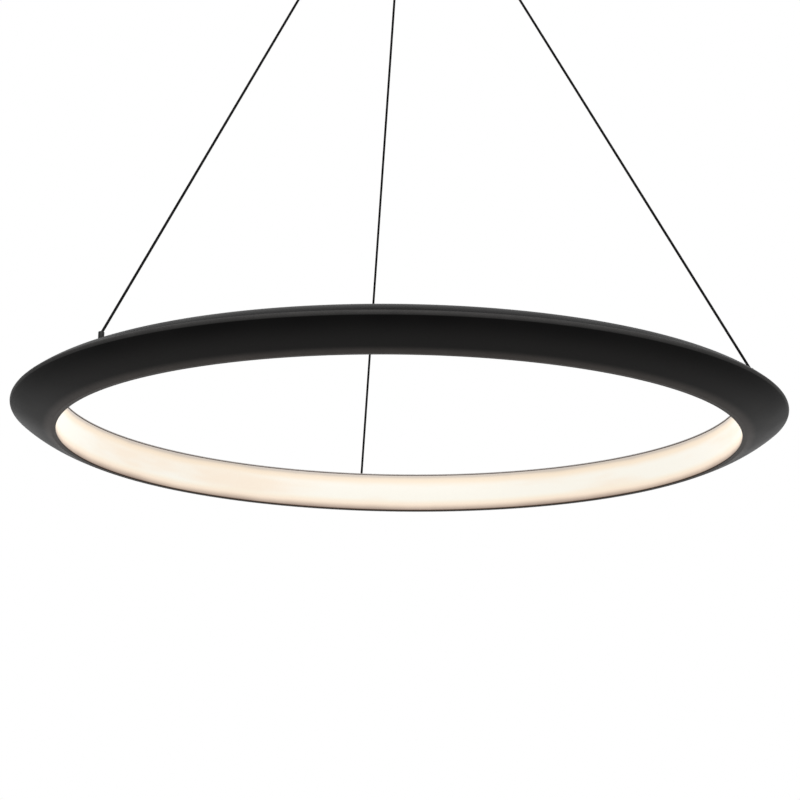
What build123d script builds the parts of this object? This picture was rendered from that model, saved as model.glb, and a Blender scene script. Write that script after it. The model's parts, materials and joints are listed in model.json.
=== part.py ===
from build123d import *
from math import cos, degrees, radians, sin, sqrt, tan
import os

os.makedirs("parts", exist_ok=True)

# A ring pendant on three cables, in millimetres. +Z is up, and the origin is on the ring's axis in
# the plane of the ceiling, so everything hangs at negative z.

# the ring
ring_diameter = 914.4      # 36 in outside
ring_height = 51.8
section_width = 54.0       # inner face to nose
ring_drop = 800.0          # ceiling to the underside of the ring
lip_flat = 5.4             # level part of the lower lip
lip_turn = 18.5            # degrees, where the lower face leaves it
roof_slope = 14.5          # degrees, at the inner edge
roof_run = 22.0            # straight part of the upper face
nose_height = 28.5
nose_radius = 2.5
nose_setback = 1.39        # from there to the sharp corner in which the two faces would meet
bottom_lip = 1.6           # thickness of the lips on both sides of the mouth
top_lip = 1.4
mouth_depth = 1.2          # level part of the upper lip's underside
sill_depth = 5.0           # level part of the cavity's floor
floor_kink = (30.0, 13.2)  # points of the cavity's outline, from the ring's inner face and underside
roof_kink = (28.0, 41.8)
cavity_end = (51.5, 28.5)

# the light
diffuser_wall = 1.8
diffuser_leg = 4.6         # how far its flanges reach behind the lips
lip_gap = 0.3              # between the diffuser and the lips
strip_gap = 0.4            # where the ends of a bent strip meet
carrier_inset = 15.0       # inner face of the ring to the front of the LED carrier
carrier_wall = 1.5
carrier_low, carrier_high = 7.2, 44.8
gusset_width = 6.0
board_count = 6
board_arc = 57.5           # degrees
board_height = 24.0
board_centre = 26.0        # above the ring's underside
board_wall = 1.0
tape_gap = 0.3             # adhesive tape between a board and the carrier
leds_per_board = 8
led_width, led_height, led_depth = 3.5, 2.8, 0.9

# the suspension
anchor_angles = (90.0, 215.3, 329.0)    # where the cables meet the ring, in degrees from +X
live_anchors = (0, 2)                   # the two that carry current
anchor_inset = 24.0        # inner face of the ring to an anchor's axis
anchor_radius = 3.3
anchor_top = 53.3          # above the ring's underside
anchor_shoulder = 39.6
anchor_foot = 33.1
anchor_chamfer = 0.7
socket_depth = 2.4         # widens upwards, because the cable leans
socket_radius = 1.4
socket_taper = 22.0        # degrees
stud_radius = 2.5
nut_height = 4.0
bush_radius = 5.5
slack_fit = 0.02           # between pieces that are clamped together
cable_radius = 1.1
cable_seat = 1.8           # the cable's end below the anchor's top
end_run = 7.0              # upright stretch of cable below the gripper

# the canopy
canopy_radius = 100.0
canopy_height = 45.0
canopy_wall = 1.2
canopy_chamfer = 1.2
bar_width = 26.0
bar_wall = 1.6
bar_tab = 14.0             # bent-down ends that take the canopy screws
box_slot_spacing = 79.0    # takes screws 70 to 89 mm apart
box_slot_length = 24.0
box_slot_width = 5.2
wire_hole_radius = 6.0
canopy_screw_drop = 8.0
gripper_angles = (90.0, 210.0, 330.0)
gripper_circle = 55.0      # radius
gripper_reach = 12.0       # barrel below the canopy
gripper_hole_radius = 5.1
collar_height = 3.5
gripper_nut_height = 4.0
neck_top = -31.0
plunger_reach = 6.0        # plunger below the barrel
driver_length, driver_width, driver_height = 140.0, 40.0, 22.0
driver_offset = 9.0        # towards the far gripper
driver_flange = 9.0        # at each end, with a hole for a stud
lid_wall = 1.6
terminal_height = 9.0
wire_radius = 0.9
hidden_sides = 12          # of small holes and studs that nothing shows

ring_bottom = -ring_drop
ring_top = ring_bottom + ring_height
inner_radius = ring_diameter / 2 - section_width
carrier_radius = inner_radius + carrier_inset
anchor_circle = inner_radius + anchor_inset
floor_top = -canopy_height + canopy_wall
barrel_bottom = -canopy_height - gripper_reach
plunger_tip = barrel_bottom - plunger_reach


def finish(piece, name):
    piece.part.label = name
    export_step(piece.part, f"parts/{name}.step")


def at(radius, angle, z):
    return Vector(radius * cos(radians(angle)), radius * sin(radians(angle)), z)


def radial_plane(angle, radius=0.0, z=0.0):
    # local x points away from the ring's axis, local y is up
    outward = at(1, angle, 0)
    return Plane(origin=at(radius, angle, z), x_dir=outward, z_dir=(outward.Y, -outward.X, 0))


def facing_plane(angle, radius, z):
    # stands across the radius: local x runs along the ring, local y is up
    outward = at(1, angle, 0)
    return Plane(origin=at(radius, angle, z), x_dir=(-outward.Y, outward.X, 0), z_dir=outward)


def bend_radii(points):
    radii = []
    for before, here, after in zip(points, points[1:], points[2:]):
        turn = (here - before).get_angle(after - here)
        shorter = min((here - before).length, (after - here).length)
        radii.append(0.45 * shorter / tan(radians(turn) / 2))
    return radii


def tube(points, radius):
    # a round cable along straight runs joined by tangent arcs
    points = [Vector(*p) if isinstance(p, tuple) else p for p in points]
    with BuildPart() as wire:
        with BuildLine() as route:
            if len(points) == 2:
                Line(*points)
            else:
                FilletPolyline(*points, radius=bend_radii(points))
        with BuildSketch(Plane(origin=points[0], z_dir=points[1] - points[0])):
            Circle(radius)
        sweep(path=route.wires()[0])
    return wire


# ---- ring housing: a rolled aluminium extrusion, open on its inner side ----
def section_point(inset, height):
    # a point of the ring's section, from its inner face and its underside
    return (inner_radius + inset, ring_bottom + height)


sharp_nose = section_point(section_width + nose_setback, nose_height)
mouth_top = ring_height - top_lip

with BuildPart() as ring_housing:
    with BuildSketch(Plane.XZ) as section:
        with BuildLine():
            lip = Line(section_point(0, 0), section_point(lip_flat, 0))
            TangentArc(lip @ 1, sharp_nose, tangent=(cos(radians(lip_turn)), sin(radians(lip_turn))))
            roof = PolarLine(section_point(0, ring_height), roof_run, -roof_slope)
            TangentArc(roof @ 1, sharp_nose, tangent=roof % 1)
            Line(roof @ 0, lip @ 0)
        make_face()
        fillet(section.vertices().sort_by(Axis.X)[-1], nose_radius)
        with BuildLine():
            Polyline(
                section_point(-1, bottom_lip),
                section_point(sill_depth, bottom_lip),
                section_point(*floor_kink),
                section_point(*cavity_end),
                section_point(*roof_kink),
                section_point(mouth_depth, mouth_top),
                section_point(-1, mouth_top),
                close=True,
            )
        make_face(mode=Mode.SUBTRACT)
    revolve(axis=Axis.Z)
    with BuildSketch(Plane.XY.offset(ring_bottom + anchor_shoulder)):
        with Locations(*[at(anchor_circle, angle, 0) for angle in anchor_angles]):
            RegularPolygon(anchor_radius + 0.15, hidden_sides, major_radius=False)
    extrude(amount=ring_height - anchor_shoulder, mode=Mode.SUBTRACT)
finish(ring_housing, "ring_housing")

# ---- diffuser: an opal channel pushed into the mouth, its ends meeting at the front ----
front_angle = 270.0
slit = degrees(strip_gap / inner_radius)
ceiling_fall = (mouth_top - roof_kink[1]) / (roof_kink[0] - mouth_depth)
leg_fall = ceiling_fall * (diffuser_leg - lip_gap)
diffuser_low = bottom_lip + lip_gap
diffuser_high = mouth_top - lip_gap

with BuildPart() as diffuser:
    with BuildSketch(radial_plane(front_angle + slit / 2)):
        with BuildLine():
            Polyline(
                section_point(lip_gap, diffuser_low),
                section_point(diffuser_leg, diffuser_low),
                section_point(diffuser_leg, diffuser_low + diffuser_wall),
                section_point(lip_gap + diffuser_wall, diffuser_low + diffuser_wall),
                section_point(lip_gap + diffuser_wall, diffuser_high - diffuser_wall),
                section_point(diffuser_leg, diffuser_high - leg_fall - diffuser_wall),
                section_point(diffuser_leg, diffuser_high - leg_fall),
                section_point(lip_gap, diffuser_high),
                close=True,
            )
        make_face()
    revolve(axis=Axis.Z, revolution_arc=360 - slit)
finish(diffuser, "diffuser")

# ---- LED carrier: a sprung aluminium band on six gussets ----
band_split = 30.0          # angle where its ends meet
split_half = 0.3           # degrees
gusset_angles = range(0, 360, 60)
screw_level = ring_bottom + 20
screw_hole = 3.2
lead_level = ring_bottom + board_centre

with BuildPart() as led_carrier:
    with BuildSketch(radial_plane(band_split + split_half)):
        with Locations(section_point(carrier_inset + carrier_wall / 2, (carrier_low + carrier_high) / 2)):
            Rectangle(carrier_wall, carrier_high - carrier_low)
    revolve(axis=Axis.Z, revolution_arc=360 - 2 * split_half)
    with Locations(*[facing_plane(angle, carrier_radius, screw_level) for angle in gusset_angles]):
        Box(screw_hole, screw_hole, 6, mode=Mode.SUBTRACT)
    with Locations(*[facing_plane(anchor_angles[k], carrier_radius, lead_level) for k in live_anchors]):
        Box(screw_hole, screw_hole, 6, mode=Mode.SUBTRACT)    # for the feed leads
finish(led_carrier, "led_carrier")

heel_inset = carrier_inset + carrier_wall + slack_fit
toe_inset = cavity_end[0] - 3.0
sill_climb = (floor_kink[1] - bottom_lip) / (floor_kink[0] - sill_depth)
nose_climb = (cavity_end[1] - floor_kink[1]) / (cavity_end[0] - floor_kink[0])
nose_fall = (roof_kink[1] - cavity_end[1]) / (cavity_end[0] - roof_kink[0])
heel_floor = floor_kink[1] - sill_climb * (floor_kink[0] - heel_inset)
heel_ceiling = roof_kink[1] + ceiling_fall * (roof_kink[0] - heel_inset)
toe_floor = floor_kink[1] + nose_climb * (toe_inset - floor_kink[0])
toe_ceiling = roof_kink[1] - nose_fall * (toe_inset - roof_kink[0])
gusset_gap = 0.06

with BuildPart() as carrier_gussets:
    for angle in gusset_angles:
        with BuildSketch(radial_plane(angle)):
            with BuildLine():
                Polyline(
                    section_point(heel_inset, heel_floor + gusset_gap),
                    section_point(floor_kink[0], floor_kink[1] + gusset_gap),
                    section_point(toe_inset, toe_floor + gusset_gap),
                    section_point(toe_inset, toe_ceiling - gusset_gap),
                    section_point(roof_kink[0], roof_kink[1] - gusset_gap),
                    section_point(heel_inset, heel_ceiling - gusset_gap),
                    close=True,
                )
            make_face()
            with Locations(section_point(28, 28)):
                Rectangle(10, 8, mode=Mode.SUBTRACT)    # wire way
        extrude(amount=gusset_width / 2, both=True)
    with Locations(*[radial_plane(angle, carrier_radius + 5, screw_level) for angle in gusset_angles]):
        Box(10, 2.8, 2.8, mode=Mode.SUBTRACT)
finish(carrier_gussets, "carrier_gussets")

with BuildPart() as carrier_screws:
    for angle in gusset_angles:
        seat = facing_plane(angle, carrier_radius - 0.05, screw_level)
        with BuildSketch(seat):
            RegularPolygon(3.0, 6)
        extrude(amount=-2)
        with BuildSketch(seat):
            RegularPolygon(1.3, 6)
        extrude(amount=9)
finish(carrier_screws, "carrier_screws")

# ---- LED boards, bent to the band, with their packages ----
board_front = carrier_radius - tape_gap - board_wall
board_level = ring_bottom + board_centre

with BuildPart() as led_boards:
    for k in range(board_count):
        with BuildSketch(radial_plane((k + 0.5) * 60 - board_arc / 2)):
            with Locations((board_front + board_wall / 2, board_level)):
                Rectangle(board_wall, board_height)
        revolve(axis=Axis.Z, revolution_arc=board_arc)
finish(led_boards, "led_boards")

led_seat = sqrt(board_front**2 - (led_width / 2) ** 2) - 0.005
led_pitch = 60.0 / (leds_per_board + 0.5)
first_led = 30 - (leds_per_board - 1) / 2 * led_pitch
led_spots = [
    facing_plane(k * 60 + first_led + n * led_pitch, led_seat - led_depth / 2, board_level)
    for k in range(board_count)
    for n in range(leds_per_board)
]
with BuildPart() as led_packages:
    with Locations(*led_spots):
        Box(led_width, led_height, led_depth)
finish(led_packages, "led_packages")

# links carry current over the gaps between boards, except at the gap where the chain ends
link_length, link_height, link_depth = 26.0, 5.0, 2.4
link_seat = sqrt(board_front**2 - (link_length / 2) ** 2) - 0.005
with BuildPart() as board_links:
    link_angles = range(60, 360, 60)
    with Locations(*[facing_plane(a, link_seat - link_depth / 2, board_level + 7) for a in link_angles]):
        Box(link_length, link_height, link_depth)
finish(board_links, "board_links")

# ---- anchors: turned posts through the ring's upper face, nutted inside ----
anchor_axes = [at(anchor_circle, angle, 0) for angle in anchor_angles]
shoulder_level = ring_bottom + anchor_shoulder
anchor_level = ring_bottom + anchor_top

with BuildPart() as ring_anchors:
    with BuildSketch(Plane.XY.offset(shoulder_level)):
        with Locations(*anchor_axes):
            Circle(anchor_radius)
    extrude(amount=anchor_top - anchor_shoulder)
    chamfer(ring_anchors.faces().group_by(Axis.Z)[-1].edges(), anchor_chamfer)
    with BuildSketch(Plane.XY.offset(anchor_level - socket_depth)):
        with Locations(*anchor_axes):
            RegularPolygon(socket_radius, hidden_sides, major_radius=False)
    extrude(amount=socket_depth, taper=-socket_taper, mode=Mode.SUBTRACT)
    with BuildSketch(Plane.XY.offset(shoulder_level)):
        with Locations(*anchor_axes):
            RegularPolygon(stud_radius, hidden_sides)
    extrude(amount=anchor_foot - anchor_shoulder)
finish(ring_anchors, "ring_anchors")

# the bushes fill the wedge between the sloping roof and the level nuts
bush_gap = 0.08
bush_inner = anchor_inset - bush_radius
bush_outer = anchor_inset + bush_radius
inner_ceiling = roof_kink[1] + ceiling_fall * (roof_kink[0] - bush_inner)
outer_ceiling = roof_kink[1] - nose_fall * (bush_outer - roof_kink[0])

with BuildPart() as anchor_bushes:
    for angle in anchor_angles:
        with BuildSketch(radial_plane(angle)):
            with BuildLine():
                Polyline(
                    section_point(bush_inner, anchor_shoulder + slack_fit),
                    section_point(bush_outer, anchor_shoulder + slack_fit),
                    section_point(bush_outer, outer_ceiling - bush_gap),
                    section_point(roof_kink[0], roof_kink[1] - bush_gap),
                    section_point(bush_inner, inner_ceiling - bush_gap),
                    close=True,
                )
            make_face()
        extrude(amount=bush_radius, both=True)
    with BuildSketch(Plane.XY.offset(shoulder_level)):
        with Locations(*anchor_axes):
            RegularPolygon(anchor_radius + 0.15, hidden_sides, major_radius=False)
    extrude(amount=ring_height - anchor_shoulder, mode=Mode.SUBTRACT)
finish(anchor_bushes, "anchor_bushes")

with BuildPart() as anchor_nuts:
    with BuildSketch(Plane.XY.offset(shoulder_level - nut_height)):
        with Locations(*anchor_axes):
            RegularPolygon(4.5, 6, major_radius=False)
            RegularPolygon(stud_radius + 0.05, hidden_sides, mode=Mode.SUBTRACT)
    extrude(amount=nut_height)
finish(anchor_nuts, "anchor_nuts")

# two anchors feed the ends of the board chain
with BuildPart() as feed_leads:
    for anchor in live_anchors:
        start = at(anchor_circle, anchor_angles[anchor], ring_bottom + anchor_foot - slack_fit)
        corner = at(anchor_circle, anchor_angles[anchor], lead_level)
        pad = at(board_front + board_wall + 0.05, anchor_angles[anchor], lead_level)
        with BuildLine() as route:
            FilletPolyline(start, corner, pad, radius=7)
        with BuildSketch(Plane(origin=start, z_dir=(0, 0, -1))):
            RegularPolygon(wire_radius, 6)
        sweep(path=route.wires()[0])
finish(feed_leads, "feed_leads")

# ---- canopy: a spun steel cup, screwed from its sides to the bar ----
stud_x = (driver_length - driver_flange) / 2
with BuildPart() as canopy:
    with BuildSketch(Plane.XY.offset(-canopy_height)):
        Circle(canopy_radius)
    extrude(amount=canopy_height)
    chamfer(canopy.faces().sort_by(Axis.Z)[0].edges(), canopy_chamfer)
    with BuildSketch():
        Circle(canopy_radius - canopy_wall)
    extrude(amount=floor_top, mode=Mode.SUBTRACT)
    with BuildSketch(Plane.XY.offset(-canopy_height)):
        with Locations(*[at(gripper_circle, angle, 0) for angle in gripper_angles]):
            RegularPolygon(gripper_hole_radius, hidden_sides, major_radius=False)
    extrude(amount=canopy_wall, mode=Mode.SUBTRACT)
    with BuildSketch(Plane.YZ.offset(-canopy_radius)):
        with Locations((0, -canopy_screw_drop)):
            RegularPolygon(2.2, hidden_sides)
    extrude(amount=2 * canopy_radius, mode=Mode.SUBTRACT)
    with BuildSketch(Plane.XY.offset(floor_top)):
        with Locations((-stud_x, driver_offset), (stud_x, driver_offset)):
            RegularPolygon(1.5, hidden_sides)
    extrude(amount=6)    # welded studs for the driver
finish(canopy, "canopy")

bar_half = canopy_radius - canopy_wall - 1.0
with BuildPart() as ceiling_plate:
    with BuildSketch(Plane.XZ):
        with BuildLine():
            Polyline(
                (-bar_half, -bar_tab),
                (-bar_half, 0),
                (bar_half, 0),
                (bar_half, -bar_tab),
                (bar_half - bar_wall, -bar_tab),
                (bar_half - bar_wall, -bar_wall),
                (bar_wall - bar_half, -bar_wall),
                (bar_wall - bar_half, -bar_tab),
                close=True,
            )
        make_face()
    extrude(amount=bar_width / 2, both=True)
    with BuildSketch(Plane.XY):
        Circle(wire_hole_radius)
        with Locations((-box_slot_spacing / 2, 0), (box_slot_spacing / 2, 0)):
            SlotOverall(box_slot_length, box_slot_width)
    extrude(amount=-bar_wall, mode=Mode.SUBTRACT)
    with BuildSketch(Plane.YZ.offset(-canopy_radius)):
        with Locations((0, -canopy_screw_drop)):
            RegularPolygon(2.2, hidden_sides)
    extrude(amount=2 * canopy_radius, mode=Mode.SUBTRACT)
finish(ceiling_plate, "ceiling_plate")

with BuildPart() as canopy_screws:
    for angle in (0, 180):
        with BuildSketch(facing_plane(angle, canopy_radius + 0.02, -canopy_screw_drop)):
            Circle(4)
        extrude(amount=2.2)
        with BuildSketch(facing_plane(angle, canopy_radius + 0.02, -canopy_screw_drop)):
            RegularPolygon(2, hidden_sides)
        extrude(amount=-8)
finish(canopy_screws, "canopy_screws")

# ---- driver: a potted supply with its terminals on the lid ----
case_length = driver_length - 2 * driver_flange
lid_top = floor_top + driver_height

with BuildPart() as driver_case:
    with BuildSketch(Plane.XY.offset(floor_top + 0.02)):
        with Locations((0, driver_offset)):
            Rectangle(driver_length, 14)
            with Locations((-stud_x, 0), (stud_x, 0)):
                RegularPolygon(1.7, hidden_sides, mode=Mode.SUBTRACT)
    extrude(amount=1.6)
    with BuildSketch(Plane.XY.offset(floor_top + 0.02)) as footprint:
        with Locations((0, driver_offset)):
            Rectangle(case_length, driver_width)
        chamfer(footprint.vertices(), 3)
    extrude(amount=driver_height - lid_wall)
finish(driver_case, "driver_case")

with BuildPart() as driver_lid:
    with BuildSketch(Plane.XY.offset(lid_top - lid_wall + 0.04)) as footprint:
        with Locations((0, driver_offset)):
            Rectangle(case_length, driver_width)
        chamfer(footprint.vertices(), 3)
    extrude(amount=lid_wall)
finish(driver_lid, "driver_lid")

terminal_x = gripper_circle * cos(radians(30))
for name, side, ways in (("input_terminal", -1, 3), ("output_terminal", 1, 2)):
    with BuildPart() as terminal:
        with BuildSketch(Plane.XY.offset(lid_top + 0.06)):
            with Locations((side * terminal_x, driver_offset)):
                Rectangle(15, 20)
        extrude(amount=terminal_height)
        with BuildSketch(Plane.XY.offset(lid_top + 0.06 + terminal_height)):
            with Locations((side * terminal_x, driver_offset)):
                with GridLocations(1, 20 / ways, 1, ways):
                    Rectangle(3.6, 3.6)
        extrude(amount=-3, mode=Mode.SUBTRACT)    # screw wells
    finish(terminal, name)

with BuildPart() as driver_nuts:
    with BuildSketch(Plane.XY.offset(floor_top + 1.64)):
        with Locations((-stud_x, driver_offset), (stud_x, driver_offset)):
            RegularPolygon(2.75, 6, major_radius=False)
            RegularPolygon(1.55, hidden_sides, mode=Mode.SUBTRACT)
    extrude(amount=2.4)
finish(driver_nuts, "driver_nuts")

# ---- grippers: threaded barrels with a spring-loaded release plunger ----
gripper_spots = [at(gripper_circle, angle, 0) for angle in gripper_angles]

with BuildPart() as gripper_bodies:
    for low, high, radius in (
        (barrel_bottom, -canopy_height - collar_height, 5.5),
        (-canopy_height - collar_height, -canopy_height - 0.02, 7.0),
    ):
        with BuildSketch(Plane.XY.offset(low)):
            with Locations(*gripper_spots):
                Circle(radius)
        extrude(amount=high - low)
    with BuildSketch(Plane.XY.offset(-canopy_height - 1)):
        with Locations(*gripper_spots):
            RegularPolygon(4.9, hidden_sides)
    extrude(amount=neck_top + canopy_height + 1)
    for low, high, radius in (
        (0.0, 1.0, 3.15),          # mouth that keeps the plunger in
        (1.0, 11.6, 3.6),          # chamber
        (11.6, 26.0, cable_radius + 0.25),
    ):
        with BuildSketch(Plane.XY.offset(barrel_bottom + low)):
            with Locations(*gripper_spots):
                RegularPolygon(radius, hidden_sides, major_radius=False)
        extrude(amount=high - low, mode=Mode.SUBTRACT)
finish(gripper_bodies, "gripper_bodies")

for k, spot in enumerate(gripper_spots):
    with BuildPart() as gripper_plunger:
        with BuildSketch(Plane.XY.offset(plunger_tip)):
            with Locations(spot):
                RegularPolygon(2.9, hidden_sides)
        extrude(amount=barrel_bottom + 1.05 - plunger_tip)
        with BuildSketch(Plane.XY.offset(barrel_bottom + 1.05)):
            with Locations(spot):
                RegularPolygon(3.5, hidden_sides)
        extrude(amount=7.5)
        with BuildSketch(Plane.XY.offset(plunger_tip)):
            with Locations(spot):
                RegularPolygon(cable_radius + 0.2, hidden_sides, major_radius=False)
        extrude(amount=20, mode=Mode.SUBTRACT)
    finish(gripper_plunger, f"gripper_plunger_{k + 1}")

with BuildPart() as gripper_nuts:
    with BuildSketch(Plane.XY.offset(floor_top + 0.02)):
        with Locations(*gripper_spots):
            RegularPolygon(6.5, 6, major_radius=False)
            RegularPolygon(4.95, hidden_sides, mode=Mode.SUBTRACT)
    extrude(amount=gripper_nut_height)
finish(gripper_nuts, "gripper_nuts")

# ---- cables: the free lengths, and the tails that they continue as in the canopy ----
for k, (foot_angle, head_angle) in enumerate(zip(anchor_angles, gripper_angles)):
    foot = at(anchor_circle, foot_angle, anchor_level - cable_seat)
    head = at(gripper_circle, head_angle, plunger_tip)
    neck = head - Vector(0, 0, end_run)
    points = [foot, neck, head]
    cable = tube(points, cable_radius)
    finish(cable, f"cable_{k + 1}")
    print(f"cable_{k + 1} radii", [round(r, 1) for r in bend_radii(points)])

tail_level = lid_top + 0.06 + terminal_height / 2
tail_bend = 12.0
tail_sides = 6             # nothing shows them
far_spot, left_spot, right_spot = gripper_spots
far_entry = Vector(terminal_x, driver_offset + 10.02, tail_level)
near_entry = Vector(terminal_x, driver_offset - 10.02, tail_level)
lift = Vector(0, 0, tail_level)
tail_corners = [
    [far_spot + lift, Vector(terminal_x, gripper_circle, tail_level), far_entry],
    [left_spot + Vector(0, 0, neck_top + 8)],
    [right_spot + lift, near_entry],
]
for k, spot in enumerate(gripper_spots):
    start = spot + Vector(0, 0, plunger_tip)
    corners = tail_corners[k]
    with BuildPart() as cable_tail:
        with BuildLine() as route:
            if len(corners) == 1:
                Line(start, corners[0])
            else:
                FilletPolyline(start, *corners, radius=tail_bend)
        with BuildSketch(Plane.XY.offset(plunger_tip)):
            with Locations((spot.X, spot.Y)):
                RegularPolygon(cable_radius, tail_sides)
        sweep(path=route.wires()[0])
    finish(cable_tail, f"cable_tail_{k + 1}")

with BuildPart() as tail_stop:
    with BuildSketch(Plane.XY.offset(neck_top + 0.1)):
        with Locations((left_spot.X, left_spot.Y)):
            RegularPolygon(2.4, 6)
            RegularPolygon(cable_radius, tail_sides, mode=Mode.SUBTRACT)
    extrude(amount=6)    # crimped on the cable that carries no current
finish(tail_stop, "tail_stop")
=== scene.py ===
import json
from math import atan2, cos, hypot, pi, radians, sin, tan

import bmesh
import bpy
from mathutils import Matrix, Vector


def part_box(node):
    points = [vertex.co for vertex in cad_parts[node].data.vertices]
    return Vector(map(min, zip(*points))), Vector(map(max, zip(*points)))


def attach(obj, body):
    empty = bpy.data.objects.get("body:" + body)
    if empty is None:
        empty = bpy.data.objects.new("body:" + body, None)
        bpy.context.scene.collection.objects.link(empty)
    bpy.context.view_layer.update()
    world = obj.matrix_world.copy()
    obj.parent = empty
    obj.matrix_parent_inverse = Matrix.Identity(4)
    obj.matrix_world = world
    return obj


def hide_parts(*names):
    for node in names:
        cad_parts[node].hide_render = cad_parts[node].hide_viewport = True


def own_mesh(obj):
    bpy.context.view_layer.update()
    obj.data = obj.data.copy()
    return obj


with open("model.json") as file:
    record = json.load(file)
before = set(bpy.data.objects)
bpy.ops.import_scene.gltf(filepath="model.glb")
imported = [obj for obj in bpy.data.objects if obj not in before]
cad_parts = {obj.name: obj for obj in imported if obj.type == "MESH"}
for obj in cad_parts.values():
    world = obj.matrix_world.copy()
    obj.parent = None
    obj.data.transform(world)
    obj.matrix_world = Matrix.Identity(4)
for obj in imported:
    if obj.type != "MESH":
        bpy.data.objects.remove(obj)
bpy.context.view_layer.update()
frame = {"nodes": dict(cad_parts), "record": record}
print("frame loaded:", len(frame["nodes"]), "nodes")

mm = 0.001
weldGap = 0.001 * mm
nearby = 0.01 * mm

# where the pieces stand
layout = {
    "sectionWidth": 54.0 * mm,     # of the ring, from its inner edge to its nose
    "anchorInset": 24.0 * mm,      # from the ring's inner edge
    "gripperCircle": 55.0 * mm,
    "gripperAngles": (90.0, 210.0, 330.0),
}
ringLow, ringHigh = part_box("ring_housing")
canopyLow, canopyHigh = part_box("canopy")
underside = ringLow[2]             # of the ring
ringTop = ringHigh[2]
ringRadius = max(ringHigh[0], ringHigh[1])
innerRadius = ringRadius - layout["sectionWidth"]
anchorCircle = innerRadius + layout["anchorInset"]
canopyRadius = max(canopyHigh[0], canopyHigh[1])


def onCircle(radius, angle, z=0.0):
    return Vector((radius * cos(radians(angle)), radius * sin(radians(angle)), z))


# shader maths: a socket that takes +, -, * and /
class Wire:
    def __init__(self, tree, socket=None):
        self.tree = tree
        self.socket = socket

    def node(self, kind, settings=None, inputs=None, output=0):
        made = self.tree.nodes.new(kind)
        for key, value in (settings or {}).items():
            if key == "stops":
                ramp = made.color_ramp
                while len(ramp.elements) < len(value):
                    ramp.elements.new(0.5)
                for element, (place, colour) in zip(ramp.elements, value):
                    element.position = place
                    element.color = (*colour, 1.0)
            else:
                setattr(made, key, value)
        for key, value in (inputs or {}).items():
            if isinstance(value, Wire):
                self.tree.links.new(value.socket, made.inputs[key])
            else:
                made.inputs[key].default_value = value
        return Wire(self.tree, made.outputs[output])

    def maths(self, operation, first, second):
        return self.node("ShaderNodeMath", {"operation": operation}, {0: first, 1: second})

    def __add__(self, other):
        return self.maths("ADD", self, other)

    def __radd__(self, other):
        return self.maths("ADD", other, self)

    def __sub__(self, other):
        return self.maths("SUBTRACT", self, other)

    def __rsub__(self, other):
        return self.maths("SUBTRACT", other, self)

    def __mul__(self, other):
        return self.maths("MULTIPLY", self, other)

    def __rmul__(self, other):
        return self.maths("MULTIPLY", other, self)

    def __truediv__(self, other):
        return self.maths("DIVIDE", self, other)

    def ramp(self, low, high, toLow=0.0, toHigh=1.0):
        values = {"Value": self, "From Min": low, "From Max": high, "To Min": toLow, "To Max": toHigh}
        return self.node("ShaderNodeMapRange", {"interpolation_type": "SMOOTHSTEP"}, values)

    def blend(self, first, second):
        values = {0: self, 6: colour4(first), 7: colour4(second)}
        return self.node("ShaderNodeMix", {"data_type": "RGBA"}, values, output=2)

    def axis(self, which):
        return self.node("ShaderNodeSeparateXYZ", None, {0: self}, output="XYZ".index(which))

    def noise(self, scale, detail, roughness=0.5, stretch=(1, 1, 1)):
        place = self.node("ShaderNodeVectorMath", {"operation": "MULTIPLY"}, {0: self, 1: stretch})
        values = {"Vector": place, "Scale": scale, "Detail": detail, "Roughness": roughness}
        return self.node("ShaderNodeTexNoise", None, values)


def colour4(value):
    return value if isinstance(value, Wire) else (*value, 1.0)


def newMaterial(name):
    material = bpy.data.materials.new(name)
    material.use_nodes = True
    tree = material.node_tree
    return material, tree.nodes["Principled BSDF"], Wire(tree).node("ShaderNodeTexCoord", output=3)


sockets = {
    "colour": "Base Color", "rough": "Roughness", "metal": "Metallic", "gloss": "Specular IOR Level",
    "glow": "Emission Color", "glowStrength": "Emission Strength", "bump": "Normal",
}


def plug(shader, **values):
    for key, value in values.items():
        socket = shader.inputs[sockets[key]]
        if isinstance(value, Wire):
            shader.id_data.links.new(value.socket, socket)
        else:
            socket.default_value = colour4(value) if key in ("colour", "glow") else value


def bumpFrom(height, distance, strength):
    values = {"Height": height, "Distance": distance, "Strength": strength}
    return height.node("ShaderNodeBump", None, values)


# camera at the photograph's angle
view = {
    "distance": 2.3803,       # from the ring's axis at its underside
    "below": 12.955,          # degrees under the ring's plane
    "azimuth": 263.0,
    "pitch": 14.262,
    "roll": 0.746,
    "lens": 90.0,
    "sensor": 36.0,
    "shift": 0.0007,
    "farClip": 50.0,
}


def addCamera():
    data = bpy.data.cameras.new("camera")
    camera = bpy.data.objects.new("camera", data)
    bpy.context.scene.collection.objects.link(camera)
    below = radians(view["below"])
    drop = view["distance"] * sin(below)
    place = onCircle(view["distance"] * cos(below), view["azimuth"], underside - drop)
    pitch = radians(view["pitch"])
    forward = onCircle(cos(pitch), view["azimuth"] + 180, sin(pitch))
    level = forward.cross(Vector((0, 0, 1))).normalized()
    upright = level.cross(forward)
    roll = radians(view["roll"])
    right = level * cos(roll) + upright * sin(roll)
    camera.matrix_world = Matrix((right, right.cross(forward), -forward)).transposed().to_4x4()
    camera.location = place
    data.lens = view["lens"]
    data.sensor_width = view["sensor"]
    data.shift_x = view["shift"]
    data.clip_end = view["farClip"]
    bpy.context.scene.camera = camera
    bpy.context.scene.view_settings.view_transform = "Standard"


addCamera()
print("camera set")


# mesh helpers
def finishMesh(name, bm, smooth=30.0):
    bmesh.ops.remove_doubles(bm, verts=bm.verts, dist=weldGap)
    bmesh.ops.recalc_face_normals(bm, faces=bm.faces)
    mesh = bpy.data.meshes.new(name)
    bm.to_mesh(mesh)
    bm.free()
    shade(mesh, smooth)
    return mesh


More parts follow.
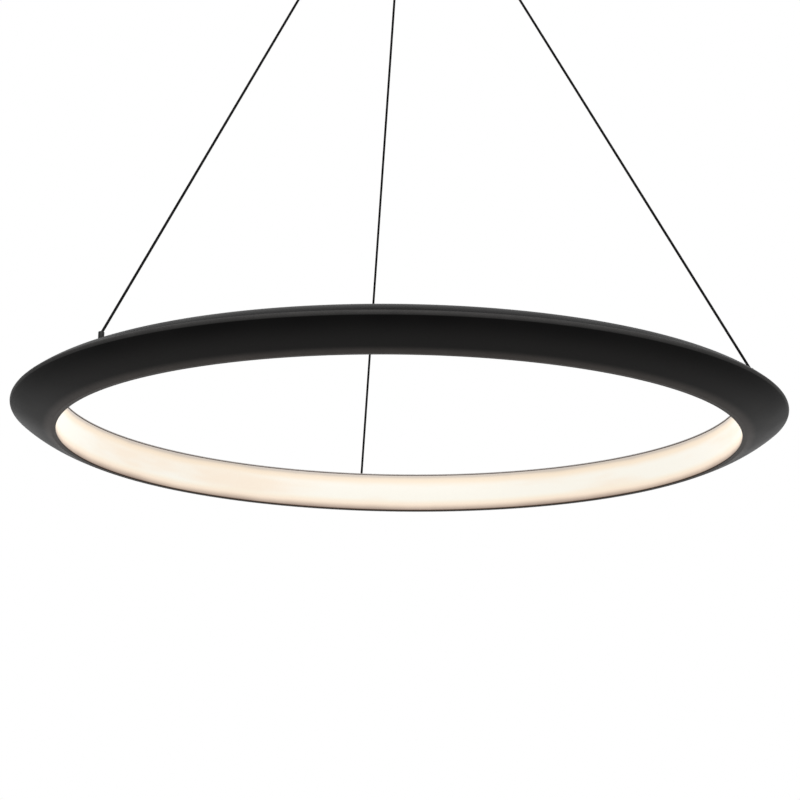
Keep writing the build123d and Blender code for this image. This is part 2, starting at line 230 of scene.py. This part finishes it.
def shade(mesh, smooth):
    for polygon in mesh.polygons:
        polygon.use_smooth = True
    mesh.set_sharp_from_angle(angle=radians(smooth))


def addPiece(name, mesh, material, body, replaced):
    piece = bpy.data.objects.new(name, mesh)
    bpy.context.scene.collection.objects.link(piece)
    mesh.materials.append(material)
    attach(piece, body)
    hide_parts(replaced)
    return piece


def spinOutline(points, steps, closed=True, turn=2 * pi, start=0.0):
    bm = bmesh.new()
    verts = [bm.verts.new((x * cos(start), x * sin(start), z)) for x, z in points]
    pairs = list(zip(verts, verts[1:]))
    if closed:
        pairs.append((verts[-1], verts[0]))
    edges = [bm.edges.new(pair) for pair in pairs]
    whole = turn == 2 * pi
    spun = bmesh.ops.spin(bm, geom=verts + edges, cent=(0, 0, 0), axis=(0, 0, 1), angle=turn,
                          steps=steps, use_merge=whole)
    if not whole:
        last = [v for v in spun["geom_last"] if isinstance(v, bmesh.types.BMVert)]
        bm.faces.new(verts)
        bm.faces.new(last)
    return bm


def bevelEdges(bm, edges, width, segments):
    bmesh.ops.bevel(bm, geom=list(edges), offset=width, offset_type="OFFSET", affect="EDGES",
                    segments=segments, profile=0.5, material=-1)


def bevelSharp(bm, width, segments=2, limit=35.0):
    bmesh.ops.remove_doubles(bm, verts=bm.verts, dist=weldGap)
    edges = [e for e in bm.edges if e.is_manifold and e.calc_face_angle(0) > radians(limit)]
    bevelEdges(bm, edges, width, segments)


def loopAt(bm, radius, z):
    # the round edges at this radius and height
    found = {v for v in bm.verts
             if abs(hypot(v.co.x, v.co.y) - radius) < nearby and abs(v.co.z - z) < nearby}
    return [e for e in bm.edges if e.verts[0] in found and e.verts[1] in found]


def copiesOf(bm, places):
    # repeats a small shape, modelled round the Z axis, at each place
    first = bm.verts[:] + bm.edges[:] + bm.faces[:]
    for place in places[1:]:
        made = bmesh.ops.duplicate(bm, geom=first)
        copies = [v for v in made["geom"] if isinstance(v, bmesh.types.BMVert)]
        bmesh.ops.translate(bm, verts=copies, vec=place)
    originals = [v for v in first if isinstance(v, bmesh.types.BMVert)]
    bmesh.ops.translate(bm, verts=originals, vec=places[0])


def plainMaterial(name, light, dark, rough, metal=0.0, scale=40.0, grain=0.00002,
                  stretch=(1, 1, 1), gloss=0.5):
    # slow clouds in colour and roughness over a fine grain
    material, shader, here = newMaterial(name)
    cloud = here.noise(scale, 4.0, 0.55, stretch)
    fine = here.noise(scale * 18, 2.0, 0.5, stretch)
    plug(shader, colour=cloud.ramp(0.3, 0.7).blend(dark, light),
         rough=cloud.ramp(0.3, 0.7, rough - 0.05, rough + 0.05),
         metal=metal, gloss=gloss, bump=bumpFrom(fine, grain, 0.4))
    return material


# cables
cables = {
    "feet": (90.0, 215.3, 329.0),
    "radius": 1.5 * mm,
    "footHeight": 51.5 * mm,       # above the ring's underside, in the anchor's mouth
    "headHeight": -60.0 * mm,      # inside the gripper's plunger
    "headRun": 10.0 * mm,          # upright, down from the head
    "straight": 13.0 * mm,         # further down the cable is pulled straight
    "travel": 300.0 * mm,          # of the ring
    "routeSteps": 24,
    "roundSteps": 4,
    "light": (0.0045, 0.0045, 0.0046),
    "dark": (0.0025, 0.0025, 0.0025),
    "rough": 0.5,
    "gloss": 0.06,
    "layDepth": 0.08 * mm,         # of the sheath's grain
}


def cableMaterial():
    material, shader, here = newMaterial("cableSheath")
    lay = here.noise(900.0, 2.0, 0.5, (1, 1, 0.15))
    dust = here.noise(60.0, 2.0)
    plug(shader, colour=dust.ramp(0.35, 0.65).blend(cables["dark"], cables["light"]),
         rough=cables["rough"], gloss=cables["gloss"], bump=bumpFrom(lay, cables["layDepth"], 0.4))
    return material


def routeCurve(name, points):
    data = bpy.data.curves.new(name, "CURVE")
    data.dimensions = "3D"
    data.resolution_u = cables["routeSteps"]
    spline = data.splines.new("NURBS")
    spline.points.add(len(points) - 1)
    for point, place in zip(spline.points, points):
        point.co = (*place, 1.0)
    spline.order_u = 3
    spline.use_endpoint_u = True
    return bpy.data.objects.new(name, data)


def meshOf(carrier):
    bpy.context.scene.collection.objects.link(carrier)
    bpy.context.view_layer.update()
    mesh = bpy.data.meshes.new_from_object(carrier)
    bpy.data.objects.remove(carrier)
    return mesh


def tubeAlong(name, path, radius):
    curve = bpy.data.curves.new(name, "CURVE")
    curve.dimensions = "3D"
    curve.bevel_depth = radius
    curve.bevel_resolution = cables["roundSteps"]
    curve.use_fill_caps = True
    spline = curve.splines.new("POLY")
    spline.points.add(len(path) - 1)
    for point, place in zip(spline.points, path):
        point.co = (*place, 1.0)
    return meshOf(bpy.data.objects.new(name + "Draft", curve))


def addCables():
    sheath = cableMaterial()
    for k, (foot, head) in enumerate(zip(cables["feet"], layout["gripperAngles"]), 1):
        low = onCircle(anchorCircle, foot, underside + cables["footHeight"])
        high = onCircle(layout["gripperCircle"], head, cables["headHeight"])
        neck = high - Vector((0, 0, cables["headRun"]))
        points = [low, neck - (neck - low).normalized() * cables["straight"], neck, high]
        path = [v.co.copy() for v in meshOf(routeCurve(f"cableRoute{k}", points)).vertices]
        mesh = tubeAlong(f"hangingCable{k}", path, cables["radius"])
        shade(mesh, 60.0)
        piece = addPiece(f"hangingCable{k}", mesh, sheath, "ring", f"cable_{k}")
        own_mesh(piece)


addCables()

# ring housing: a rolled extrusion with a satin dark coat
housing = {
    "lipFlat": 5.4 * mm,
    "lipTurn": 18.5,           # degrees, where the lower face leaves the lip
    "roofSlope": 14.5,
    "roofRun": 22.0 * mm,
    "noseHeight": 28.5 * mm,
    "noseSetback": 1.28 * mm,  # the sharp corner stands this far out of the rounded nose
    "noseSlope": 41.0,
    "noseRound": 2.5 * mm,
    "noseSteps": 8,
    "edgeRound": 0.25 * mm,
    "bottomLip": 1.6 * mm,     # height of its inner face
    "bottomLipDepth": 5.0 * mm,
    "topLip": 1.4 * mm,
    "topLipDepth": 1.2 * mm,
    "cavity": [(28.0, 41.8), (51.5, 28.5), (30.0, 13.2)],    # mm from the inner edge and underside
    "lowerSteps": 16,          # along the lower face's outline
    "crownSteps": 10,
    "steps": 432,
    "light": (0.0110, 0.0107, 0.0105),
    "dark": (0.0078, 0.0076, 0.0076),
    "rough": 0.36,
    "gloss": 0.015,
    "grain": 0.03 * mm,
    "lowFacePaintedUplight": (0.027, 0.026, 0.0255),     # painted light from below: the lower face pales towards its lip
    "lowFade": (6.0 * mm, 25.0 * mm),
    "noseHighlightPaint": (0.068, 0.066, 0.065),     # painted highlight on the rounded nose and on the lower lip, where they catch the light
    "lipHighlightPaint": (0.098, 0.088, 0.082),
    "noseHighlightBand": (2.2 * mm, 0.88 * mm),        # inwards from the nose, where it starts and is full
    "lipHighlightBand": (0.6 * mm, 4.6 * mm),          # upwards from the underside
    "topRimPaintedGlow": (0.50, 0.455, 0.43),           # painted glow from the diffuser on the lips' inner faces beside it
    "lowRimPaintedGlow": (0.050, 0.038, 0.030),
    "rimSplit": (20.0 * mm, 30.0 * mm),
    "rimDepth": 0.35 * mm,
}


def tangentArc(start, slope, end, count):
    # points on the circle that leaves start at this slope and goes through end
    chord = Vector(end) - Vector(start)
    half = atan2(chord.y, chord.x) - slope
    points = []
    for k in range(1, count + 1):
        reach = chord.length * sin(half * k / count) / sin(half)
        aim = slope + half * k / count
        points.append((start[0] + reach * cos(aim), start[1] + reach * sin(aim)))
    return points


def housingOutline():
    nose = (ringRadius + housing["noseSetback"], underside + housing["noseHeight"])
    lipEnd = (innerRadius + housing["lipFlat"], underside)
    slope = radians(housing["roofSlope"])
    roofStart = (innerRadius, ringTop)
    roofEnd = (innerRadius + housing["roofRun"] * cos(slope), ringTop - housing["roofRun"] * sin(slope))
    lower = [(innerRadius, underside), lipEnd]
    lower += tangentArc(lipEnd, radians(housing["lipTurn"]), nose, housing["lowerSteps"])
    crown = tangentArc(roofEnd, -slope, nose, housing["crownSteps"])[:-1]
    mouthTop = ringTop - housing["topLip"]
    mouthLow = underside + housing["bottomLip"]
    inside = [(innerRadius, mouthTop), (innerRadius + housing["topLipDepth"], mouthTop)]
    inside += [(innerRadius + inset * mm, underside + height * mm) for inset, height in housing["cavity"]]
    inside += [(innerRadius + housing["bottomLipDepth"], mouthLow), (innerRadius, mouthLow)]
    return lower + crown[::-1] + [roofEnd, roofStart] + inside, nose


def ringCoatMaterial():
    material, shader, here = newMaterial("ringCoat")
    grain = here.noise(1400.0, 2.0, 0.6)
    cloud = here.noise(9.0, 3.0, 0.5)
    tint = cloud.ramp(0.3, 0.7)
    flat = here.node("ShaderNodeVectorMath", {"operation": "MULTIPLY"}, {0: here, 1: (1, 1, 0)})
    out = flat.node("ShaderNodeVectorMath", {"operation": "LENGTH"}, {0: flat}, output="Value")
    # painted highlight along the nose and along the lower lip, in patches
    bandStart, bandFull = housing["noseHighlightBand"]
    nose = out.ramp(ringRadius - bandStart, ringRadius - bandFull)
    lipLow, lipHigh = housing["lipHighlightBand"]
    lip = here.axis("Z").ramp(underside + lipLow, underside + lipHigh, 1.0, 0.0)
    patchy = here.noise(55.0, 3.0, 0.6).ramp(0.2, 0.8, 0.8, 1.0)
    rim = out.ramp(innerRadius, innerRadius + housing["rimDepth"], 1.0, 0.0)
    # painted light from below: the lower face is paler towards its lip
    fadeLow, fadeHigh = housing["lowFade"]
    pale = here.axis("Z").ramp(underside + fadeLow, underside + fadeHigh, 1.0, 0.0)
    coat = pale.blend(tint.blend(housing["dark"], housing["light"]), housing["lowFacePaintedUplight"])
    coat = (nose * patchy).blend(coat, housing["noseHighlightPaint"])
    coat = (lip * patchy).blend(coat, housing["lipHighlightPaint"])
    # painted glow from the diffuser on the lips' inner faces, paler on the top lip than on the bottom one
    splitLow, splitHigh = housing["rimSplit"]
    upper = here.axis("Z").ramp(underside + splitLow, underside + splitHigh)
    plug(shader, colour=rim.blend(coat, upper.blend(housing["lowRimPaintedGlow"], housing["topRimPaintedGlow"])),
         rough=cloud.ramp(0.3, 0.7, housing["rough"] - 0.03, housing["rough"] + 0.03),
         gloss=housing["gloss"], bump=bumpFrom(grain, housing["grain"], 0.5))
    return material


def addHousing():
    outline, nose = housingOutline()
    bm = spinOutline(outline, housing["steps"])
    noseWidth = housing["noseRound"] / tan(radians(housing["noseSlope"]))
    bevelEdges(bm, loopAt(bm, *nose), noseWidth, housing["noseSteps"])
    for z in (underside, underside + housing["bottomLip"], ringTop - housing["topLip"], ringTop):
        bevelEdges(bm, loopAt(bm, innerRadius, z), housing["edgeRound"], 2)
    mesh = finishMesh("ringShell", bm, 15.0)
    piece = addPiece("ringShell", mesh, ringCoatMaterial(), "ring", "ring_housing")
    print("ring housing:", len(piece.data.polygons), "faces")


addHousing()

# diffuser: opal channel whose light fades towards its edges
diffuser = {
    "front": 0.3 * mm,
    "wall": 1.8 * mm,
    "leg": 4.6 * mm,
    "legFall": 1.38 * mm,      # the upper flange slopes with the housing's roof
    "gap": 0.3 * mm,           # to the lips
    "slit": 0.4 * mm,          # where the ends of the strip meet
    "slitAngle": 270.0,
    "edgeRound": 0.8 * mm,
    "steps": 360,
    "surface": (0.16, 0.155, 0.145),
    "glow": [
        # height across the strip, colour of the light
        (0.0, (0.24, 0.16, 0.12)),
        (0.05, (0.44, 0.33, 0.25)),
        (0.10, (0.66, 0.52, 0.40)),
        (0.15, (0.80, 0.66, 0.52)),
        (0.30, (0.82, 0.76, 0.62)),
        (0.72, (0.81, 0.71, 0.58)),
        (0.84, (0.79, 0.65, 0.49)),
        (0.89, (0.72, 0.59, 0.45)),
        (0.94, (0.50, 0.42, 0.34)),
        (1.0, (0.46, 0.40, 0.36)),
    ],
    "core": (0.80, 0.77, 0.69),
    "warmCore": (0.80, 0.685, 0.555),
    "coreRise": (0.16, 0.34),      # across the strip, from its lower edge
    "coreFall": (0.18, 0.36),      # and from its upper one
    "drift": 0.10,                 # how far the light's edges wander
    "patches": (0.44, 0.70),
}


def opalMaterial(low, high):
    material, shader, here = newMaterial("litOpal")
    across = (here.axis("Z") - low) / (high - low)
    cloud = here.noise(12.0, 3.0, 0.5)
    drift = across + (cloud - 0.5) * diffuser["drift"]
    edges = here.node("ShaderNodeValToRGB", {"stops": diffuser["glow"]}, {0: drift})
    middle = drift.ramp(*diffuser["coreRise"]) * (1.0 - drift).ramp(*diffuser["coreFall"])
    patches = here.noise(5.0, 3.0, 0.55, (1, 1, 5)).ramp(*diffuser["patches"])
    core = patches.blend(diffuser["core"], diffuser["warmCore"])
    plug(shader, colour=diffuser["surface"], rough=0.35, glow=middle.blend(edges, core),
         glowStrength=1.0)
    return material


def addDiffuser():
    front = innerRadius + diffuser["front"]
    back = front + diffuser["wall"]
    tip = innerRadius + diffuser["leg"]
    low = underside + housing["bottomLip"] + diffuser["gap"]
    high = ringTop - housing["topLip"] - diffuser["gap"]
    wall = diffuser["wall"]
    fall = diffuser["legFall"]
    outline = [(front, low), (tip, low), (tip, low + wall), (back, low + wall), (back, high - wall),
               (tip, high - fall - wall), (tip, high - fall), (front, high)]
    slit = diffuser["slit"] / innerRadius
    start = radians(diffuser["slitAngle"]) + slit / 2
    bm = spinOutline(outline, diffuser["steps"], turn=2 * pi - slit, start=start)
    for z in (low, high):
        bevelEdges(bm, loopAt(bm, front, z), diffuser["edgeRound"], 4)
    mesh = finishMesh("diffuserBand", bm, 25.0)
    addPiece("diffuserBand", mesh, opalMaterial(low, high), "ring", "diffuser")


addDiffuser()

# anchors: turned posts with a mouth that lets the cable lean
anchors = {
    "radius": 3.3 * mm,
    "top": 53.3 * mm,          # above the ring's underside
    "shoulder": 39.6 * mm,
    "foot": 33.1 * mm,
    "chamfer": 0.7 * mm,
    "stud": 2.5 * mm,
    "mouth": 2.35 * mm,
    "socket": 1.4 * mm,
    "socketDepth": 2.4 * mm,
    "edgeRound": 0.12 * mm,
    "steps": 40,
}


def addAnchors():
    a = anchors
    top = a["top"]
    outline = [
        (0, a["foot"]), (a["stud"], a["foot"]), (a["stud"], a["shoulder"]),
        (a["radius"], a["shoulder"]), (a["radius"], top - a["chamfer"]),
        (a["radius"] - a["chamfer"], top), (a["mouth"], top),
        (a["socket"], top - a["socketDepth"]), (0, top - a["socketDepth"]),
    ]
    bm = spinOutline(outline, a["steps"], closed=False)
    bevelSharp(bm, a["edgeRound"])
    copiesOf(bm, [onCircle(anchorCircle, angle, underside) for angle in cables["feet"]])
    anodised = plainMaterial("blackAnodised", (0.009, 0.009, 0.009), (0.005, 0.005, 0.005), 0.34,
                             metal=0.3, scale=300.0, grain=0.00001, stretch=(1, 1, 6), gloss=0.3)
    mesh = finishMesh("anchorPosts", bm)
    addPiece("anchorPosts", mesh, anodised, "ring", "ring_anchors")


addAnchors()
print("ring made")

# canopy: a spun cup
canopy = {
    "wall": 1.2 * mm,
    "edgeRound": 2.0 * mm,
    "rimRound": 0.3 * mm,
    "studs": [(-65.5 * mm, 9.0 * mm), (65.5 * mm, 9.0 * mm)],
    "studRadius": 1.5 * mm,
    "studHeight": 6.0 * mm,
    "studSteps": 24,
    "steps": 240,
}


def addCanopy():
    radius = canopyRadius
    low, high = canopyLow[2], canopyHigh[2]
    wall = canopy["wall"]
    outline = [(0, low), (radius, low), (radius, high), (radius - wall, high),
               (radius - wall, low + wall), (0, low + wall)]
    bm = spinOutline(outline, canopy["steps"], closed=False)
    bmesh.ops.remove_doubles(bm, verts=bm.verts, dist=weldGap)
    bevelEdges(bm, loopAt(bm, radius, low), canopy["edgeRound"], 8)
    bevelEdges(bm, loopAt(bm, radius - wall, low + wall), canopy["edgeRound"] - wall, 4)
    for edge in (radius, radius - wall):
        bevelEdges(bm, loopAt(bm, edge, high), canopy["rimRound"], 2)
    for x, y in canopy["studs"]:
        centre = Matrix.Translation((x, y, low + wall + canopy["studHeight"] / 2))
        bmesh.ops.create_cone(bm, cap_ends=True, segments=canopy["studSteps"],
                              radius1=canopy["studRadius"], radius2=canopy["studRadius"],
                              depth=canopy["studHeight"], matrix=centre)
    coat = plainMaterial("canopyCoat", (0.0062, 0.0060, 0.0060), (0.0046, 0.0045, 0.0045), 0.38,
                         scale=30.0, grain=0.00003, gloss=0.12)
    mesh = finishMesh("canopyCup", bm, 25.0)
    addPiece("canopyCup", mesh, coat, "canopy", "canopy")


addCanopy()

# canopy screws: pan heads with a hexagon socket
screws = {
    "drop": 8.0 * mm,
    "headRadius": 4.0 * mm,
    "headHeight": 2.2 * mm,
    "socket": 1.25 * mm,       # half the key's width
    "socketDepth": 1.4 * mm,
    "shank": 2.0 * mm,
    "length": 8.0 * mm,
    "tip": (0.4 * mm, 0.6 * mm),     # width and height of the chamfer
    "crown": (0.8, 0.55),            # where the head's top starts to fall, and how far down
    "standOff": 0.02 * mm,
    "steps": 36,
}


def screwShape():
    # stands on z 0 with its head upwards
    s = screws
    tipWidth, tipHeight = s["tip"]
    crownRadius, crownFoot = s["crown"]
    socketFloor = s["headHeight"] - s["socketDepth"]
    outline = [
        (0, -s["length"]), (s["shank"] - tipWidth, -s["length"]),
        (s["shank"], -s["length"] + tipHeight), (s["shank"], 0), (s["headRadius"], 0),
        (s["headRadius"], s["headHeight"] * crownFoot),
        (s["headRadius"] * crownRadius, s["headHeight"]),
        (s["socket"], s["headHeight"]), (s["socket"], socketFloor), (0, socketFloor),
    ]
    bm = spinOutline(outline, s["steps"], closed=False)
    bmesh.ops.remove_doubles(bm, verts=bm.verts, dist=weldGap)
    for vert in bm.verts:
        radius = hypot(vert.co.x, vert.co.y)
        if abs(radius - s["socket"]) < nearby and vert.co.z > 0:
            # pushes the round socket out to a hexagon
            turn = (atan2(vert.co.y, vert.co.x) + 2 * pi) % (pi / 3) - pi / 6
            vert.co.x /= cos(turn)
            vert.co.y /= cos(turn)
    return bm


def addCanopyScrews():
    bm = bmesh.new()
    seat = canopyRadius + screws["standOff"]
    for side in (-1, 1):
        part = screwShape()
        place = Matrix.Translation((side * seat, 0, -screws["drop"]))
        bmesh.ops.transform(part, matrix=place @ Matrix.Rotation(side * pi / 2, 4, "Y"), verts=part.verts)
        draft = bpy.data.meshes.new("screwDraft")
        part.to_mesh(draft)
        part.free()
        bm.from_mesh(draft)
        bpy.data.meshes.remove(draft)
    steel = plainMaterial("blackScrew", (0.03, 0.03, 0.03), (0.018, 0.018, 0.018), 0.32,
                          metal=0.7, scale=200.0)
    mesh = finishMesh("canopyScrews", bm)
    addPiece("canopyScrews", mesh, steel, "canopy", "canopy_screws")


addCanopyScrews()

# cable grippers: knurled collar, barrel and release plunger
grippers = {
    "barrelLow": -57.0 * mm,
    "collarLow": -48.5 * mm,
    "collarHigh": -45.02 * mm,
    "neckHigh": -31.0 * mm,
    "barrel": 5.5 * mm,
    "collar": 7.0 * mm,
    "neck": 4.9 * mm,
    "bore": 1.35 * mm,
    "chamber": 3.6 * mm,
    "mouth": 3.15 * mm,
    "mouthDepth": 1.0 * mm,
    "chamberHigh": 11.6 * mm,
    "collarRound": 0.45 * mm,
    "barrelRound": 0.6 * mm,
    "knurl": 0.22 * mm,
    "steps": 96,
    "plungerLow": -63.0 * mm,
    "plungerFlange": -55.95 * mm,
    "plungerHigh": -48.45 * mm,
    "plunger": 2.9 * mm,
    "flange": 3.5 * mm,
    "plungerBore": 1.75 * mm,
    "plungerRound": 0.5 * mm,
    "boreRound": 0.2 * mm,
    "plungerSteps": 48,
}


def addGrippers():
    g = grippers
    low = g["barrelLow"]
    chamberTop = low + g["chamberHigh"]
    mouthTop = low + g["mouthDepth"]
    plating = plainMaterial("gripperPlate", (0.02, 0.0195, 0.0195), (0.011, 0.011, 0.011), 0.3,
                            metal=0.6, scale=120.0, grain=0.00001, stretch=(1, 1, 5), gloss=0.4)
    outline = [
        (g["mouth"], low), (g["barrel"], low), (g["barrel"], g["collarLow"]),
        (g["collar"], g["collarLow"]), (g["collar"], g["collarHigh"]),
        (g["neck"], g["collarHigh"]), (g["neck"], g["neckHigh"]), (g["bore"], g["neckHigh"]),
        (g["bore"], chamberTop), (g["chamber"], chamberTop), (g["chamber"], mouthTop),
        (g["mouth"], mouthTop),
    ]
    bm = spinOutline(outline, g["steps"])
    for z in (g["collarLow"], g["collarHigh"]):
        bevelEdges(bm, loopAt(bm, g["collar"], z), g["collarRound"], 1)
    bevelEdges(bm, loopAt(bm, g["barrel"], low), g["barrelRound"], 3)
    for vert in bm.verts:
        # every second corner of the collar goes in, which knurls it
        if hypot(vert.co.x, vert.co.y) > g["collar"] - nearby:
            turn = round(atan2(vert.co.y, vert.co.x) / (2 * pi) * g["steps"])
            if turn % 2:
                vert.co.xy *= 1 - g["knurl"] / g["collar"]
    places = [onCircle(layout["gripperCircle"], angle) for angle in layout["gripperAngles"]]
    copiesOf(bm, places)
    mesh = finishMesh("gripperBarrels", bm)
    addPiece("gripperBarrels", mesh, plating, "canopy", "gripper_bodies")

    foot, flange, top = g["plungerLow"], g["plungerFlange"], g["plungerHigh"]
    outline = [(g["plungerBore"], foot), (g["plunger"], foot), (g["plunger"], flange),
               (g["flange"], flange), (g["flange"], top), (g["plungerBore"], top)]
    for k, place in enumerate(places, 1):
        bm = spinOutline(outline, g["plungerSteps"])
        bevelEdges(bm, loopAt(bm, g["plunger"], foot), g["plungerRound"], 3)
        bevelEdges(bm, loopAt(bm, g["plungerBore"], foot), g["boreRound"], 2)
        bmesh.ops.translate(bm, verts=bm.verts, vec=place)
        name = f"releasePlunger{k}"
        mesh = finishMesh(name, bm)
        addPiece(name, mesh, plating, f"release_{k}", f"gripper_plunger_{k}")


addGrippers()
print("canopy made")

# finishes of the nodes that keep their own shape
finishes = {
    "zinc_steel": plainMaterial("zincPlate", (0.62, 0.62, 0.58), (0.44, 0.45, 0.43), 0.32,
                                metal=1.0, scale=70.0),
    "driver_plastic": plainMaterial("driverCase", (0.78, 0.78, 0.76), (0.70, 0.70, 0.68), 0.5,
                                    scale=25.0, grain=0.00004),
    "terminal_plastic": plainMaterial("terminalBlock", (0.70, 0.69, 0.64), (0.60, 0.59, 0.55), 0.42),
    "cable": cableMaterial(),
    "bare_aluminium": plainMaterial("millAluminium", (0.78, 0.78, 0.79), (0.64, 0.64, 0.65), 0.34,
                                    metal=1.0, scale=30.0, stretch=(1, 1, 8)),
    "board_white": plainMaterial("boardMask", (0.88, 0.88, 0.86), (0.82, 0.82, 0.80), 0.4),
    "led_phosphor": plainMaterial("phosphor", (0.90, 0.70, 0.22), (0.82, 0.60, 0.16), 0.5),
    "bush_plastic": plainMaterial("nylonBush", (0.07, 0.07, 0.07), (0.05, 0.05, 0.05), 0.5),
    "lead_insulation": plainMaterial("leadSleeve", (0.74, 0.72, 0.68), (0.65, 0.63, 0.59), 0.4),
}


def finishNodes():
    for part in frame["record"]["subparts"]:
        finish = finishes.get(part["material_slot"])
        if finish:
            node = frame["nodes"][part["node"]]
            node.data.materials.clear()
            node.data.materials.append(finish)


finishNodes()

# floor, world and lamp
studio = {
    "floor": -2.5,
    "floorSize": 60.0,
    "floorColour": (0.75, 0.75, 0.75),
    "floorRough": 0.8,
    "floorLift": 0.45,             # added where the camera looks at it
    "ambient": 0.40,
    "lamps": [
        # name, place, width, height, watts
        ("frontAbove", (-0.1, -2.9, 1.1), 6.0, 2.2, 80.0),
    ],
}


def backgroundRays(tree):
    # 1 where the camera sees the background, also in gloss and through clear pieces
    kinds = ("Is Camera Ray", "Is Glossy Ray", "Is Transmission Ray")
    camera, glossy, through = (Wire(tree).node("ShaderNodeLightPath", output=kind) for kind in kinds)
    total = camera + glossy + through
    return total.maths("MINIMUM", total, 1.0)


def addStudio():
    bm = bmesh.new()
    bmesh.ops.create_grid(bm, x_segments=1, y_segments=1, size=studio["floorSize"])
    bmesh.ops.translate(bm, verts=bm.verts, vec=(0, 0, studio["floor"]))
    mesh = bpy.data.meshes.new("floor")
    bm.to_mesh(mesh)
    bm.free()
    floor = bpy.data.objects.new("floor", mesh)
    bpy.context.scene.collection.objects.link(floor)
    material, shader, here = newMaterial("paleFloor")
    lift = backgroundRays(here.tree) * studio["floorLift"]
    plug(shader, colour=studio["floorColour"], rough=studio["floorRough"],
         glow=lift.blend((0, 0, 0), (1, 1, 1)), glowStrength=1.0)
    # from under the floor the pendant shows through it
    behind = here.node("ShaderNodeNewGeometry", output="Backfacing")
    clear = here.node("ShaderNodeBsdfTransparent")
    seen = Wire(here.tree, shader.outputs["BSDF"])
    mixed = here.node("ShaderNodeMixShader", None, {0: behind, 1: seen, 2: clear})
    here.tree.links.new(mixed.socket, here.tree.nodes["Material Output"].inputs["Surface"])
    mesh.materials.append(material)

    world = bpy.data.worlds.new("studio")
    bpy.context.scene.world = world
    world.use_nodes = True
    tree = world.node_tree
    back = tree.nodes["Background"]
    strength = backgroundRays(tree) * (1.0 - studio["ambient"]) + studio["ambient"]
    tree.links.new(strength.socket, back.inputs["Strength"])
    back.inputs["Color"].default_value = (1, 1, 1, 1)

    for name, place, width, height, watts in studio["lamps"]:
        data = bpy.data.lights.new(name, "AREA")
        data.shape = "RECTANGLE"
        data.size = width
        data.size_y = height
        data.energy = watts
        lamp = bpy.data.objects.new(name, data)
        bpy.context.scene.collection.objects.link(lamp)
        lamp.location = place
        aim = Vector((0, 0, underside)) - Vector(place)
        lamp.rotation_euler = aim.to_track_quat("-Z", "Y").to_euler()
        lamp.visible_camera = False


addStudio()
print("studio set")
